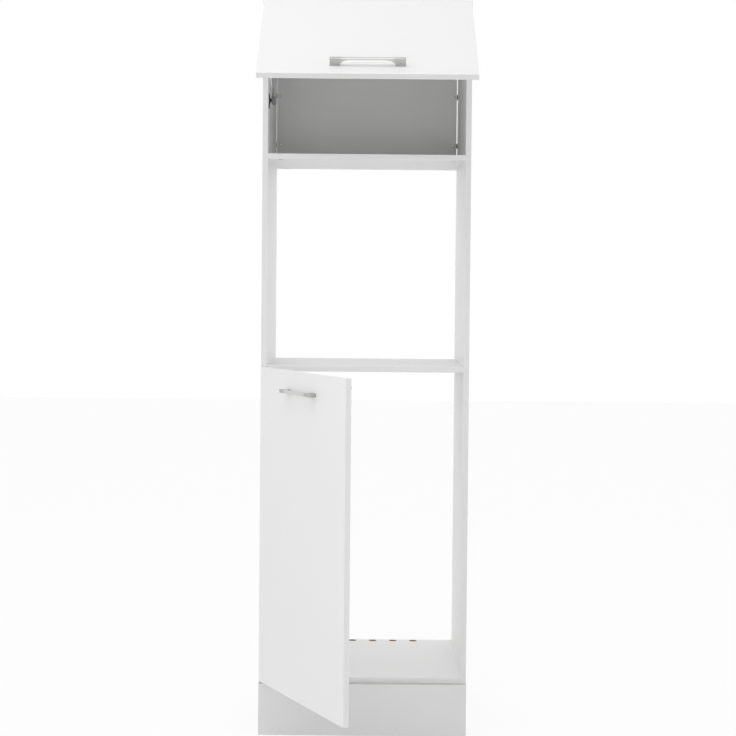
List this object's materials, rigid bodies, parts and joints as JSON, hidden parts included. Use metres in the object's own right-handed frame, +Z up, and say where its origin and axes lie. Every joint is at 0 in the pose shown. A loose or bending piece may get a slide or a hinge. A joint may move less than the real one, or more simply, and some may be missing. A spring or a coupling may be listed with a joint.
{
  "type": "tall microwave cabinet",
  "caption": "Tall white kitchen cabinet with an open microwave niche, a fridge space behind a side-hung door and a top compartment behind a lift-up flap.",
  "frame": {"origin": "on the floor at the middle of the plinth board's underside, in the mid-plane of the closed fronts' thickness", "axes": "+Z up, +X to the right seen from the front, +Y into the cabinet"},
  "size_m": [0.6, 1.0963, 2.118],
  "materials": {
    "white_board": "white melamine-faced chipboard with a fine pearl texture",
    "white_front": "smooth white laminated front board",
    "white_back_board": "thin white fibreboard",
    "satin_silver": "satin silver",
    "nickel_steel": "nickel-plated pressed steel",
    "zinc_steel": "bright zinc-plated",
    "black_plastic": "fine matt moulding",
    "dark_grey_plastic": "ribbed moulding",
    "black_rubber": "soft matt"
  },
  "bodies": {
    "carcass": {"side_panel_left": "white_board", "side_panel_right": "white_board", "top_panel": "white_board", "upper_fixed_shelf": "white_board", "middle_fixed_shelf": "white_board", "bottom_panel": "white_board", "upper_back_panel": "white_back_board", "back_panel_brackets": "zinc_steel", "shelf_cams": "zinc_steel", "plinth_board": "white_board", "plinth_clips": "black_plastic", "leg_sockets": "black_plastic", "leg_tubes": "black_plastic", "door_hinge_arms": "nickel_steel", "door_hinge_plates": "nickel_steel", "flap_hinge_arms": "nickel_steel", "flap_hinge_plates": "nickel_steel", "stay_base": "black_plastic"},
    "door": {"door_panel": "white_front", "door_handle": "satin_silver", "door_hinge_cups": "nickel_steel"},
    "flap": {"flap_panel": "white_front", "flap_handle": "satin_silver", "flap_hinge_cups": "nickel_steel", "stay_flap_bracket": "zinc_steel", "stay_flap_pin": "nickel_steel"},
    "brake": {"stay_housing": "dark_grey_plastic"},
    "rod": {"stay_rod": "zinc_steel", "stay_rod_stop": "black_rubber"},
    "screw_foot_front_left": {"foot_front_left": "black_plastic"},
    "screw_foot_front_right": {"foot_front_right": "black_plastic"},
    "screw_foot_rear_left": {"foot_rear_left": "black_plastic"},
    "screw_foot_rear_right": {"foot_rear_right": "black_plastic"}
  },
  "joints": [
    {"name": "door_hinge", "type": "hinge", "parent": "carcass", "child": "door", "pos_m": [-0.2905, -0.0005, 0.609], "axis": [0, 0, -1], "range_deg": [-65, 30]},
    {"name": "flap_hinge", "type": "hinge", "parent": "carcass", "child": "flap", "pos_m": [0, -0.0005, 2.1055], "axis": [-1, 0, 0], "range_deg": [-56, 0]},
    {"name": "stay_housing_turn", "type": "hinge", "parent": "carcass", "child": "brake", "pos_m": [-0.2705, 0.0625, 1.834], "axis": [-1, 0, 0], "range_deg": [-28, 0]},
    {"name": "stay_rod_turn", "type": "hinge", "parent": "flap", "child": "rod", "pos_m": [-0.2705, -0.21823, 1.9315], "axis": [-1, 0, 0], "range_deg": [0, 28]},
    {"name": "foot_turn_front_left", "type": "hinge", "parent": "carcass", "child": "screw_foot_front_left", "pos_m": [-0.235, 0.068, 0], "axis": [0, 0, 1], "range_deg": [-360, 360]},
    {"name": "foot_turn_front_right", "type": "hinge", "parent": "carcass", "child": "screw_foot_front_right", "pos_m": [0.235, 0.068, 0], "axis": [0, 0, 1], "range_deg": [-360, 360]},
    {"name": "foot_turn_rear_left", "type": "hinge", "parent": "carcass", "child": "screw_foot_rear_left", "pos_m": [-0.235, 0.505, 0], "axis": [0, 0, 1], "range_deg": [-360, 360]},
    {"name": "foot_turn_rear_right", "type": "hinge", "parent": "carcass", "child": "screw_foot_rear_right", "pos_m": [0.235, 0.505, 0], "axis": [0, 0, 1], "range_deg": [-360, 360]}
  ],
  "couplings": [
    {"joint": "stay_housing_turn", "follows": "flap_hinge", "ratio": 0.5},
    {"joint": "stay_rod_turn", "follows": "flap_hinge", "ratio": -0.5}
  ]
}
